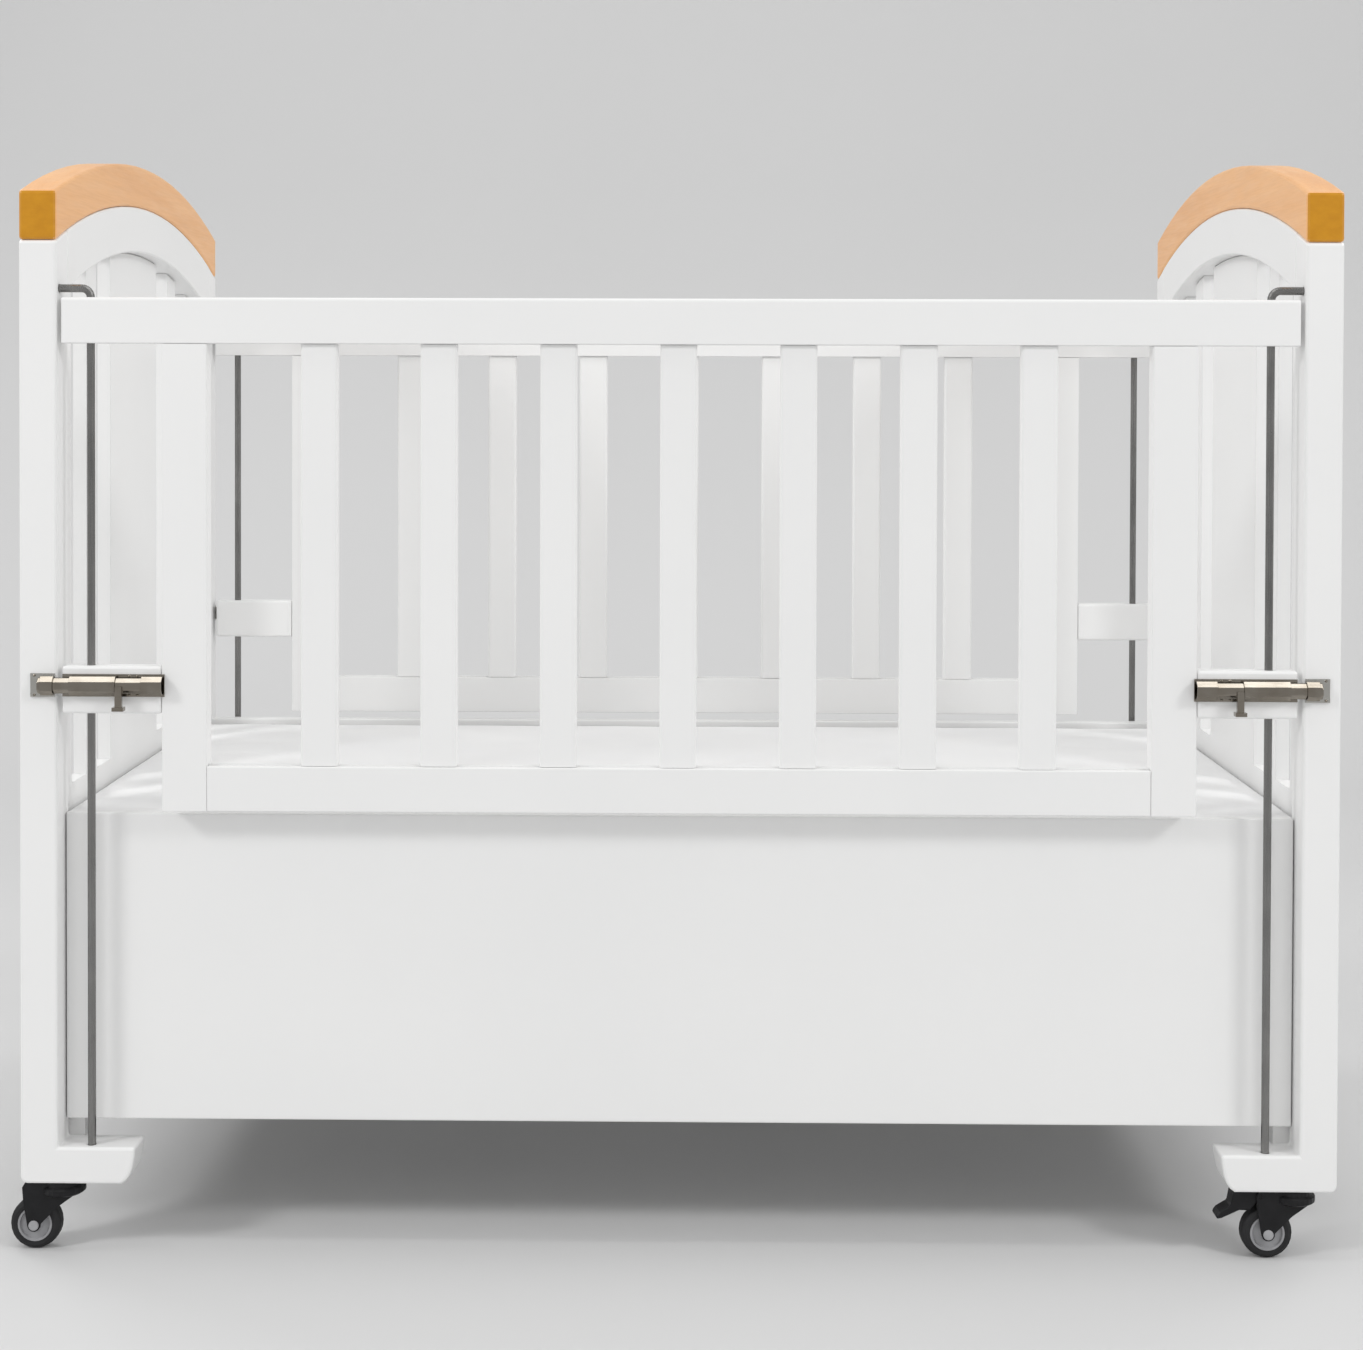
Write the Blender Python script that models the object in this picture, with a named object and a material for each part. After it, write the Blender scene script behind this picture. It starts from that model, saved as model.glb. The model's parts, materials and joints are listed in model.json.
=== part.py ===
"""Baby cot: two arched end panels on castors, a sliding drop side along each long side, and a mattress.

Metres, +Z up. X runs along the cot, and the front drop side faces -Y. The origin is on the floor, in the middle.
"""

import math

import bmesh
import bpy
from mathutils import Vector

for old in list(bpy.data.objects):
    bpy.data.objects.remove(old, do_unlink=True)


# Mattress, which the cot is made round
MATTRESS_LENGTH = 1.240
MATTRESS_WIDTH = 0.600
MATTRESS_THICKNESS = 0.056
MATTRESS_END_CLEARANCE = 0.003
MATTRESS_SIDE_CLEARANCE = 0.008
MATTRESS_CROWN = 0.008
MATTRESS_BELOW_BOARD = 0.005
MATTRESS_CORNER = 0.035
MATTRESS_DRAW_IN = 0.005

# Posts, each with its bracket foot
POST_WIDTH = 0.037
POST_DEPTH = 0.040
CASTOR_HEIGHT = 0.069
FOOT_HEIGHT = 0.036
FOOT_REACH = 0.076
FOOT_TOE = 0.0135
FOOT_CORNER_RADIUS = 0.007
POST_RISE = 0.055

# Wooden caps and arched rails of the end panels
CAP_END_HEIGHT = 0.049
CAP_TOP_RISE = 0.056
CAP_UNDER_RISE = 0.059
ARCH_RAIL_DEPTH = 0.050
ARCH_OPENING_RISE = 0.055

# Infill of the end panels
INFILL_THICKNESS = 0.014
INFILL_SET_BACK = 0.015
CENTRE_BOARD_WIDTH = 0.200
SLOT_WIDTH = 0.055
END_SLAT_WIDTH = 0.038
SLOTS_ABOVE_BOARD = 0.016

# Fixed lower boards along the long sides
BOARD_LIFT = 0.020
BOARD_HEIGHT = 0.305
BOARD_THICKNESS = 0.015
BOARD_END_GAP = 0.001

# Drop sides
SIDE_THICKNESS = 0.022
SIDE_RUNNING_GAP = 0.005
SIDE_LIFT = 0.007
SIDE_HEIGHT = 0.503
RAIL_END_GAP = 0.005
TOP_RAIL_HEIGHT = 0.045
BOTTOM_RAIL_HEIGHT = 0.044
STILE_FROM_POST = 0.103
STILE_WIDTH = 0.044
SIDE_SLAT_COUNT = 7
SIDE_SLAT_WIDTH = 0.036
SIDE_SLAT_FROM_STILE = 0.0914
SIDE_SLAT_THICKNESS = 0.014
FILLET_WIDTH = 0.006
FILLET_DEPTH = 0.005
FILLET_PROUD = 0.001

# Latch blocks, which carry the bolts and slide on the rods
LATCH_BLOCK_HEIGHT = 0.0465
LATCH_BLOCK_DROP = 0.316
BOLT_BELOW_BLOCK_TOP = 0.0185

# Guide rods
ROD_DIAMETER = 0.008
ROD_FROM_POST = 0.031
ROD_BEND_RADIUS = 0.009
ROD_OVER_RAIL = 0.005
ROD_SEAT_DEPTH = 0.014
ROD_HOLE_CLEARANCE = 0.0005

# Barrel bolts, with places counted from the post's inner face towards the middle of the cot
PLATE_THICKNESS = 0.0015
PLATE_HEIGHT = 0.022
PLATE_INSET = 0.001
BOLT_HEIGHT = 0.0155
BOLT_DEPTH = 0.0085
BOLT_CHAMFER = 0.0042
BOLT_CLEARANCE = 0.0004
SHEET_THICKNESS = 0.0012
HOUSING_START = 0.0145
HOUSING_LENGTH = 0.045
SADDLE_GAP = 0.0255
SADDLE_LENGTH = 0.020
BOLT_TAIL = 0.003
BOLT_REACH = 0.017
THUMB_WIDTH = 0.0065
THUMB_DROP = 0.013
THUMB_FOOT_WIDTH = 0.011
THUMB_FOOT_HEIGHT = 0.003
THUMB_PROUD = 0.0025
KEEPER_FROM_EDGE = 0.0015
KEEPER_LENGTH = 0.024
KEEPER_LOOP_LENGTH = 0.0125
KEEPER_HEIGHT = 0.023

# Bed base
BASE_SLAT_COUNT = 9
BASE_SLAT_WIDTH = 0.070
BASE_SLAT_THICKNESS = 0.012
BASE_SLAT_CLEARANCE = 0.004
BASE_STRINGER_WIDTH = 0.050
BATTEN_SIZE = 0.020
CORNER_BATTEN_WIDTH = 0.030
CORNER_BATTEN_BELOW = 0.024

# Castors
SWIVEL_FROM_OUTSIDE = 0.038
STEM_DIAMETER = 0.010
STEM_LENGTH = 0.030
HEAD_DIAMETER = 0.042
HEAD_HEIGHT = 0.014
HEAD_NECK_DIAMETER = 0.036
CHEEK_THICKNESS = 0.0025
CHEEK_END_RADIUS = 0.0065
CASTOR_TRAIL = 0.027
WHEEL_DIAMETER = 0.050
WHEEL_WIDTH = 0.018
HUB_DIAMETER = 0.034
AXLE_DIAMETER = 0.006
WHEEL_SIDE_GAP = 0.001
PEDAL_REACH = 0.077
PEDAL_PIVOT_TRAIL = 0.034
PEDAL_PIVOT_BELOW_POST = 0.0065
PEDAL_PIN_RADIUS = 0.0015

# Gaps and edge rounding
GAP = 0.0003
WOOD_EDGE = 0.0025
SLAT_EDGE = 0.003
JOINT_EDGE = 0.0009
BOARD_EDGE = 0.0015
CAP_EDGE = 0.003
METAL_EDGE = 0.0005
ARC_POINTS = 18


# Places worked out from the sizes
INFILL_INNER_X = MATTRESS_LENGTH / 2 + MATTRESS_END_CLEARANCE
POST_INNER_X = INFILL_INNER_X - INFILL_SET_BACK
POST_OUTER_X = POST_INNER_X + POST_WIDTH
BOARD_BACK_Y = MATTRESS_WIDTH / 2 + MATTRESS_SIDE_CLEARANCE
BOARD_FRONT_Y = BOARD_BACK_Y + BOARD_THICKNESS
SIDE_BACK_Y = BOARD_FRONT_Y + SIDE_RUNNING_GAP
FRONT_Y = SIDE_BACK_Y + SIDE_THICKNESS
POST_BACK_Y = FRONT_Y - POST_DEPTH
FOOT_TOP_Z = CASTOR_HEIGHT + FOOT_HEIGHT
BOARD_BOTTOM_Z = FOOT_TOP_Z + BOARD_LIFT
BOARD_TOP_Z = BOARD_BOTTOM_Z + BOARD_HEIGHT
SIDE_BOTTOM_Z = BOARD_TOP_Z + SIDE_LIFT
SIDE_TOP_Z = SIDE_BOTTOM_Z + SIDE_HEIGHT
SIDE_CENTRE_Y = FRONT_Y - SIDE_THICKNESS / 2
STILE_OUTER_X = POST_INNER_X - STILE_FROM_POST
STILE_INNER_X = STILE_OUTER_X - STILE_WIDTH
POST_TOP_Z = SIDE_TOP_Z + POST_RISE
RAIL_END_X = POST_INNER_X - RAIL_END_GAP
ROD_X = POST_INNER_X - ROD_FROM_POST
ROD_TOP_Z = SIDE_TOP_Z + ROD_OVER_RAIL + ROD_DIAMETER / 2
BLOCK_TOP_Z = SIDE_TOP_Z - TOP_RAIL_HEIGHT - LATCH_BLOCK_DROP
BOLT_CENTRE_Z = BLOCK_TOP_Z - BOLT_BELOW_BLOCK_TOP
INFILL_OUTER_X = INFILL_INNER_X + INFILL_THICKNESS
MATTRESS_TOP_Z = BOARD_TOP_Z - MATTRESS_BELOW_BOARD
MATTRESS_BOTTOM_Z = MATTRESS_TOP_Z - MATTRESS_THICKNESS
BASE_TOP_Z = MATTRESS_BOTTOM_Z - GAP
BATTEN_TOP_Z = BASE_TOP_Z - BASE_SLAT_THICKNESS - GAP
SWIVEL_X = POST_OUTER_X - SWIVEL_FROM_OUTSIDE
SWIVEL_Y = FRONT_Y - POST_DEPTH / 2
WHEEL_RADIUS = WHEEL_DIAMETER / 2
HEAD_TOP_Z = CASTOR_HEIGHT - GAP
HEAD_BOTTOM_Z = HEAD_TOP_Z - HEAD_HEIGHT
PEDAL_PIVOT_Z = CASTOR_HEIGHT - PEDAL_PIVOT_BELOW_POST
HALVES = (("front", 0.0), ("rear", math.pi))
ENDS = (("right", 0.0), ("left", math.pi))


def paint(name, colour, roughness, metallic=0.0):
    material = bpy.data.materials.new(name)
    material.use_nodes = True
    shader = material.node_tree.nodes["Principled BSDF"]
    shader.inputs["Base Color"].default_value = (*colour, 1.0)
    shader.inputs["Roughness"].default_value = roughness
    shader.inputs["Metallic"].default_value = metallic
    material.diffuse_color = (*colour, 1.0)
    return material


WHITE = paint("white_lacquer", (0.84, 0.84, 0.83), 0.35)
CAP_WOOD = paint("cap_wood", (0.72, 0.36, 0.13), 0.4)
STEEL = paint("bright_steel", (0.55, 0.54, 0.52), 0.25, 1.0)
BOLT_PLATING = paint("bolt_plating", (0.62, 0.57, 0.50), 0.2, 1.0)
TICKING = paint("mattress_cover", (0.86, 0.86, 0.86), 0.9)
BLACK = paint("black_castor", (0.03, 0.03, 0.032), 0.5)
HUB_GREY = paint("grey_hub", (0.28, 0.28, 0.30), 0.5)
TYRE = paint("black_tyre", (0.02, 0.02, 0.02), 0.8)


def empty(name, location=(0.0, 0.0, 0.0), turn=0.0, parent=None):
    made = bpy.data.objects.new(name, None)
    bpy.context.scene.collection.objects.link(made)
    made.location = location
    made.rotation_euler = (0.0, 0.0, turn)
    made.parent = parent
    return made


def prism(outline, axis, start, end):
    """A closed mesh with the outline across an axis: (y, z) across X, (x, z) across Y, (x, y) across Z."""
    orders = {"X": (2, 0, 1), "Y": (0, 2, 1), "Z": (0, 1, 2)}
    order = orders[axis]
    bm = bmesh.new()
    rings = []
    for along in (start, end):
        ring = []
        for across, up in outline:
            point = (across, up, along)
            ring.append(bm.verts.new([point[i] for i in order]))
        rings.append(ring)
    bm.faces.new(rings[0])
    bm.faces.new(rings[1][::-1])
    count = len(outline)
    for i in range(count):
        following = (i + 1) % count
        bm.faces.new((rings[0][i], rings[0][following], rings[1][following], rings[1][i]))
    bmesh.ops.recalc_face_normals(bm, faces=bm.faces)
    return bm


def block(low, high):
    """A closed box mesh between two corners."""
    outline = ((low[0], low[1]), (high[0], low[1]), (high[0], high[1]), (low[0], high[1]))
    return prism(outline, "Z", low[2], high[2])


def turned(profile, axis, segments, solid=False):
    """A shape turned round an axis from a profile in (radius, along): a ring, or a solid closed at its ends."""
    bm = bmesh.new()
    rings = []
    for radius, along in profile:
        ring = []
        for i in range(segments):
            angle = 2 * math.pi * i / segments
            across = radius * math.cos(angle)
            up = radius * math.sin(angle)
            if axis == "Y":
                ring.append(bm.verts.new((across, along, up)))
            else:
                ring.append(bm.verts.new((across, up, along)))
        rings.append(ring)
    followers = rings[1:] if solid else rings[1:] + rings[:1]
    for ring, outer in zip(rings, followers):
        for i in range(segments):
            following = (i + 1) % segments
            bm.faces.new((ring[i], ring[following], outer[following], outer[i]))
    if solid:
        bm.faces.new(rings[0])
        bm.faces.new(rings[-1][::-1])
    bmesh.ops.recalc_face_normals(bm, faces=bm.faces)
    return bm


def cylinder(radius, centre, low, high, axis, segments=16):
    """A closed cylinder along an axis; centre holds the two other coordinates in X, Y, Z order."""
    outline = []
    for i in range(segments):
        angle = 2 * math.pi * (i + 0.5) / segments
        outline.append((centre[0] + radius * math.cos(angle), centre[1] + radius * math.sin(angle)))
    return prism(outline, axis, low, high)


def joined(meshes):
    """One mesh made of several, for shapes that cut or join another together."""
    whole = bmesh.new()
    for bm in meshes:
        part = bpy.data.meshes.new("part")
        bm.to_mesh(part)
        bm.free()
        whole.from_mesh(part)
        bpy.data.meshes.remove(part)
    return whole


def add(name, bm, material, parent=None, edge=0.0, segments=2, origin=(0.0, 0.0, 0.0)):
    """Makes an object of a mesh given in its parent's frame, with its origin where asked."""
    bmesh.ops.translate(bm, verts=bm.verts, vec=-Vector(origin))
    mesh = bpy.data.meshes.new(name)
    bm.to_mesh(mesh)
    bm.free()
    mesh.materials.append(material)
    mesh.shade_smooth()
    mesh.set_sharp_from_angle(angle=math.radians(35))
    made = bpy.data.objects.new(name, mesh)
    bpy.context.scene.collection.objects.link(made)
    made.location = origin
    made.parent = parent
    if edge > 0:
        rounding = made.modifiers.new("edge", "BEVEL")
        rounding.width = edge
        rounding.segments = segments
        rounding.limit_method = "ANGLE"
        rounding.angle_limit = math.radians(40)
    return made


def board(name, low, high, material=WHITE, parent=None, edge=WOOD_EDGE, segments=2):
    """A squared piece of wood with rounded edges, its origin at its middle."""
    middle = [(a + b) / 2 for a, b in zip(low, high)]
    return add(name, block(low, high), material, parent, edge, segments, middle)


def rounded_outline(low, high, low_radius, high_radius):
    """A rectangle with rounded corners: one radius at its low edge and one at its high edge."""
    points = []
    for index, (sign_x, sign_y) in enumerate(((1, 1), (-1, 1), (-1, -1), (1, -1))):
        radius = high_radius if sign_y > 0 else low_radius
        centre_x = (high[0] if sign_x > 0 else low[0]) - sign_x * radius
        centre_y = (high[1] if sign_y > 0 else low[1]) - sign_y * radius
        for step in range(4):
            angle = math.pi / 2 * (index + step / 3)
            points.append((centre_x + radius * math.cos(angle), centre_y + radius * math.sin(angle)))
    return points


def tool(bm, parent):
    """A shape that only cuts or adds to another, and isn't a piece itself."""
    made = add("tool", bm, WHITE, parent)
    made.hide_render = True
    made.display_type = "WIRE"
    return made


def combine(target, operation, bm):
    """Joins a shape to a piece or cuts it out; the shape is given in the piece's parent's frame."""
    modifier = target.modifiers.new(operation.lower(), "BOOLEAN")
    modifier.operation = operation
    modifier.solver = "EXACT"
    modifier.object = tool(bm, target.parent)


def side_of(half, sign):
    """left or right, as seen from the front, of a piece on a long side's own +X or -X."""
    right = (sign > 0) == (half == "front")
    return "right" if right else "left"


def arc_height(y, half_span, end_z, rise):
    """The height at y of a circular arc that rises from end_z at both ends of its span."""
    radius = (half_span**2 + rise**2) / (2 * rise)
    return end_z + rise - radius + math.sqrt(radius**2 - y**2)


def cap_under(y):
    return arc_height(y, FRONT_Y, POST_TOP_Z + GAP, CAP_UNDER_RISE)


def cap_top(y):
    return arc_height(y, FRONT_Y, POST_TOP_Z + GAP + CAP_END_HEIGHT, CAP_TOP_RISE)


def arch_under(y):
    crown = cap_under(0.0) - ARCH_RAIL_DEPTH
    return arc_height(y, POST_BACK_Y, crown - ARCH_OPENING_RISE, ARCH_OPENING_RISE)


def arched_outline(reach, lower, upper):
    """An outline between a lower and an upper curve, from -reach to reach."""
    steps = [reach * (2 * i / ARC_POINTS - 1) for i in range(ARC_POINTS + 1)]
    below = [(y, lower(y)) for y in steps]
    above = [(y, upper(y)) for y in reversed(steps)]
    return below + above


# Posts with their bracket feet
def post_outline(sign):
    """The front view of a post: an upright with a foot that reaches inwards and ends in a curve."""
    tip = POST_INNER_X - FOOT_REACH
    points = [(POST_OUTER_X, POST_TOP_Z), (POST_INNER_X, POST_TOP_Z), (POST_INNER_X, FOOT_TOP_Z), (tip, FOOT_TOP_Z)]
    for i in range(1, 6):
        t = i / 5
        bulge = 2 * t * (1 - t)
        x = tip + FOOT_TOE * (t**2 + 0.1 * bulge)
        z = FOOT_TOP_Z - FOOT_HEIGHT * (t**2 + 0.85 * bulge)
        points.append((x, z))
    for i in range(5):
        angle = -math.pi / 2 + math.pi / 2 * i / 4
        x = POST_OUTER_X - FOOT_CORNER_RADIUS + FOOT_CORNER_RADIUS * math.cos(angle)
        z = CASTOR_HEIGHT + FOOT_CORNER_RADIUS + FOOT_CORNER_RADIUS * math.sin(angle)
        points.append((x, z))
    return [(sign * x, z) for x, z in points]


def make_post(half, sign, parent):
    bm = prism(post_outline(sign), "Y", -FRONT_Y, -POST_BACK_Y)
    for vertex in bm.verts:
        if abs(vertex.co.z - POST_TOP_Z) < 1e-6:
            vertex.co.z = cap_under(vertex.co.y) - GAP
    name = "post_" + half + "_" + side_of(half, sign)
    origin = (sign * (POST_INNER_X + POST_WIDTH / 2), -SWIVEL_Y, CASTOR_HEIGHT)
    post = add(name, bm, WHITE, parent, WOOD_EDGE, 2, origin)
    hole = ROD_DIAMETER / 2 + ROD_HOLE_CLEARANCE
    foot_hole = cylinder(hole, (sign * ROD_X, -SIDE_CENTRE_Y), FOOT_TOP_Z - ROD_SEAT_DEPTH, FOOT_TOP_Z + hole, "Z")
    combine(post, "DIFFERENCE", foot_hole)
    ends = (CASTOR_HEIGHT - GAP, CASTOR_HEIGHT + STEM_LENGTH + GAP)
    bore = cylinder(STEM_DIAMETER / 2 + GAP, (sign * SWIVEL_X, -SWIVEL_Y), ends[0], ends[1], "Z")
    combine(post, "DIFFERENCE", bore)
    ends = sorted((sign * (POST_INNER_X - hole), sign * (POST_INNER_X + ROD_SEAT_DEPTH)))
    combine(post, "DIFFERENCE", cylinder(hole, (-SIDE_CENTRE_Y, ROD_TOP_Z), ends[0], ends[1], "X"))


# Guide rods, bent over into the posts at the top
def make_rod(half, sign, parent):
    name = "guide_rod_" + half + "_" + side_of(half, sign)
    curve = bpy.data.curves.new(name, "CURVE")
    curve.dimensions = "3D"
    curve.bevel_depth = ROD_DIAMETER / 2
    curve.bevel_resolution = 4
    curve.use_fill_caps = True
    points = [(0.0, 0.0)]
    bend_z = ROD_TOP_Z - ROD_BEND_RADIUS
    bottom = FOOT_TOP_Z - ROD_SEAT_DEPTH + GAP
    for i in range(7):
        angle = math.pi / 2 * i / 6
        across = ROD_BEND_RADIUS * (1 - math.cos(angle))
        points.append((across, bend_z + ROD_BEND_RADIUS * math.sin(angle) - bottom))
    points.append((ROD_FROM_POST + ROD_SEAT_DEPTH - GAP, ROD_TOP_Z - bottom))
    spline = curve.splines.new("POLY")
    spline.points.add(len(points) - 1)
    for point, (across, up) in zip(spline.points, points):
        point.co = (sign * across, 0.0, up, 1.0)
    curve.materials.append(STEEL)
    rod = bpy.data.objects.new(name, curve)
    bpy.context.scene.collection.objects.link(rod)
    rod.location = (sign * ROD_X, -SIDE_CENTRE_Y, bottom)
    rod.parent = parent


# Boards and battens round the bed base
def make_side_board(half, parent):
    reach = POST_INNER_X - BOARD_END_GAP
    low = (-reach, -BOARD_FRONT_Y, BOARD_BOTTOM_Z)
    high = (reach, -BOARD_BACK_Y, BOARD_TOP_Z)
    board("side_board_" + half, low, high, WHITE, parent, BOARD_EDGE)


def make_bed_rail(half, parent):
    """A batten along a board's inner face, with a leg in each corner."""
    face = BOARD_BACK_Y - GAP
    reach = POST_INNER_X - BOARD_END_GAP
    outer_x = INFILL_INNER_X - GAP
    leg_low_z = BOARD_BOTTOM_Z - CORNER_BATTEN_BELOW
    low = (-reach, -face, BATTEN_TOP_Z - BATTEN_SIZE)
    rail = board("bed_rail_" + half, low, (reach, BATTEN_SIZE - face, BATTEN_TOP_Z), WHITE, parent, BOARD_EDGE, 1)
    legs = []
    for sign in (-1, 1):
        xs = sorted((sign * outer_x, sign * (outer_x - CORNER_BATTEN_WIDTH)))
        low = (xs[0], -face, leg_low_z)
        legs.append(block(low, (xs[1], BATTEN_SIZE - face - GAP, BATTEN_TOP_Z - BOARD_EDGE * 2)))
    combine(rail, "UNION", joined(legs))


def make_bed_base():
    """A slatted frame that lies on the battens: two long stringers with slats across them."""
    reach_y = BOARD_BACK_Y - GAP - BASE_SLAT_CLEARANCE
    reach_x = MATTRESS_LENGTH / 2
    low_z = BASE_TOP_Z - BASE_SLAT_THICKNESS
    base = board("bed_base", (-reach_x, -reach_y, low_z), (reach_x, reach_y, BASE_TOP_Z), WHITE, None, BOARD_EDGE, 1)
    pitch = (MATTRESS_LENGTH - BASE_SLAT_WIDTH) / (BASE_SLAT_COUNT - 1)
    inner_y = reach_y - BASE_STRINGER_WIDTH
    openings = []
    for i in range(BASE_SLAT_COUNT - 1):
        start = BASE_SLAT_WIDTH + pitch * i - reach_x
        end = start + pitch - BASE_SLAT_WIDTH
        openings.append(block((start, -inner_y, low_z - GAP), (end, inner_y, BASE_TOP_Z + GAP)))
    combine(base, "DIFFERENCE", joined(openings))


# Mattress: crowned, with rounded corners and sides drawn in to a seam
def mattress_ring(inset, z, points_per_corner=5, points_per_side=8):
    """A rounded rectangle inside the mattress's outline, at one height."""
    half_x = MATTRESS_LENGTH / 2 - inset
    half_y = MATTRESS_WIDTH / 2 - inset
    radius = max(MATTRESS_CORNER - inset, 0.2 * MATTRESS_CORNER)
    corners = ((1, 1), (-1, 1), (-1, -1), (1, -1))
    ring = []
    for index, (sign_x, sign_y) in enumerate(corners):
        arc = []
        for i in range(points_per_corner):
            angle = math.pi / 2 * (index + i / (points_per_corner - 1))
            x = sign_x * (half_x - radius) + radius * math.cos(angle)
            y = sign_y * (half_y - radius) + radius * math.sin(angle)
            arc.append(Vector((x, y, z)))
        if ring:
            ring += [ring[-1].lerp(arc[0], (i + 1) / points_per_side) for i in range(points_per_side - 1)]
        ring += arc
    last = ring[-1]
    ring += [last.lerp(ring[0], (i + 1) / points_per_side) for i in range(points_per_side - 1)]
    return ring


def make_mattress():
    middle_z = (MATTRESS_TOP_Z + MATTRESS_BOTTOM_Z) / 2
    half = MATTRESS_THICKNESS / 2
    levels = [(0.200, -1.0), (0.030, -1.0), (0.008, -0.94), (0.0, -0.75)]
    levels += [(MATTRESS_DRAW_IN * 0.8, -0.3), (MATTRESS_DRAW_IN, 0.0), (MATTRESS_DRAW_IN * 0.8, 0.3)]
    levels += [(0.0, 0.75), (0.008, 0.94)]
    rings = [mattress_ring(inset, middle_z + half * level) for inset, level in levels]
    for depth in (0.10, 0.23, 0.43, 0.67, 0.90):
        swell = math.sin(min(depth * 1.15, 1.0) * math.pi / 2)
        rings.append(mattress_ring(depth * MATTRESS_WIDTH / 2, MATTRESS_TOP_Z + MATTRESS_CROWN * swell))
    bm = bmesh.new()
    loops = [[bm.verts.new(point) for point in ring] for ring in rings]
    for lower, upper in zip(loops, loops[1:]):
        for i in range(len(lower)):
            following = (i + 1) % len(lower)
            bm.faces.new((lower[i], lower[following], upper[following], upper[i]))
    bm.faces.new(loops[0][::-1])
    bm.faces.new(loops[-1])
    bmesh.ops.triangulate(bm, faces=bm.faces)
    bmesh.ops.recalc_face_normals(bm, faces=bm.faces)
    add("mattress", bm, TICKING, None, 0.0, 1, (0.0, 0.0, middle_z))


# End panels
def make_end(side, parent):
    origin = (POST_INNER_X + POST_WIDTH / 2, 0.0, POST_TOP_Z)
    cap = prism(arched_outline(FRONT_Y, cap_under, cap_top), "X", POST_INNER_X, POST_OUTER_X)
    add("cap_" + side, cap, CAP_WOOD, parent, CAP_EDGE, 2, origin)
    reach = POST_BACK_Y - GAP
    rail = prism(arched_outline(reach, arch_under, lambda y: cap_under(y) - GAP), "X", POST_INNER_X, POST_OUTER_X)
    add("arch_rail_" + side, rail, WHITE, parent, BOARD_EDGE, 1, origin)

    panel = arched_outline(reach, lambda y: BOARD_BOTTOM_Z, lambda y: arch_under(y) - GAP)
    panel = prism(panel, "X", INFILL_INNER_X, INFILL_OUTER_X)
    origin = (INFILL_INNER_X + INFILL_THICKNESS / 2, 0.0, BOARD_BOTTOM_Z)
    made = add("end_panel_" + side, panel, WHITE, parent, BOARD_EDGE, 1, origin)
    slots = []
    first = CENTRE_BOARD_WIDTH / 2
    for sign in (-1, 1):
        for near in (first, first + SLOT_WIDTH + END_SLAT_WIDTH):
            ys = sorted((sign * near, sign * (near + SLOT_WIDTH)))
            low = (INFILL_INNER_X - GAP, ys[0], BOARD_TOP_Z + SLOTS_ABOVE_BOARD)
            slots.append(block(low, (INFILL_OUTER_X + GAP, ys[1], POST_TOP_Z + CAP_UNDER_RISE)))
    combine(made, "DIFFERENCE", joined(slots))


# Barrel bolts. Each section is an outline in (outwards from the wood, up), turned into the -Y direction.
def bolt_section(grow):
    """Half of an octagon: a flat back, and a front with chamfered corners."""
    back = PLATE_THICKNESS + BOLT_CLEARANCE - grow
    front = PLATE_THICKNESS + BOLT_CLEARANCE + BOLT_DEPTH + grow
    high = BOLT_HEIGHT / 2 + grow
    corner = BOLT_CHAMFER + 0.4 * grow
    points = ((back, -high), (front - corner, -high), (front, corner - high))
    points += ((front, high - corner), (front - corner, high), (back, high))
    return [(-FRONT_Y - out, BOLT_CENTRE_Z + up) for out, up in points]


def along_block(sign, start, end):
    """The X span of a stretch counted from the post's inner face towards the middle."""
    return sorted((sign * (POST_INNER_X - start), sign * (POST_INNER_X - end)))


def make_bolt_plate(half, sign, parent):
    """The sheet body that holds a bolt: a plate with a long housing and a short saddle pressed up from it."""
    wall = BOLT_CLEARANCE + SHEET_THICKNESS
    saddle_start = HOUSING_START + HOUSING_LENGTH + SADDLE_GAP
    plate_end = saddle_start + SADDLE_LENGTH + PLATE_INSET
    xs = along_block(sign, RAIL_END_GAP + PLATE_INSET, plate_end)
    half_height = PLATE_HEIGHT / 2
    low = (xs[0], -FRONT_Y - PLATE_THICKNESS - GAP, BOLT_CENTRE_Z - half_height)
    high = (xs[1], -FRONT_Y - GAP, BOLT_CENTRE_Z + half_height)
    made = board(half + "_side_bolt_plate_" + side_of(half, sign), low, high, BOLT_PLATING, parent, 0.0)
    housings = []
    for start, length in ((HOUSING_START, HOUSING_LENGTH), (saddle_start, SADDLE_LENGTH)):
        xs = along_block(sign, start, start + length)
        housings.append(prism(bolt_section(wall), "X", xs[0], xs[1]))
    combine(made, "UNION", joined(housings))
    xs = along_block(sign, 0.0, plate_end + PLATE_INSET)
    combine(made, "DIFFERENCE", prism(bolt_section(BOLT_CLEARANCE * 0.75), "X", xs[0], xs[1]))


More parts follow.
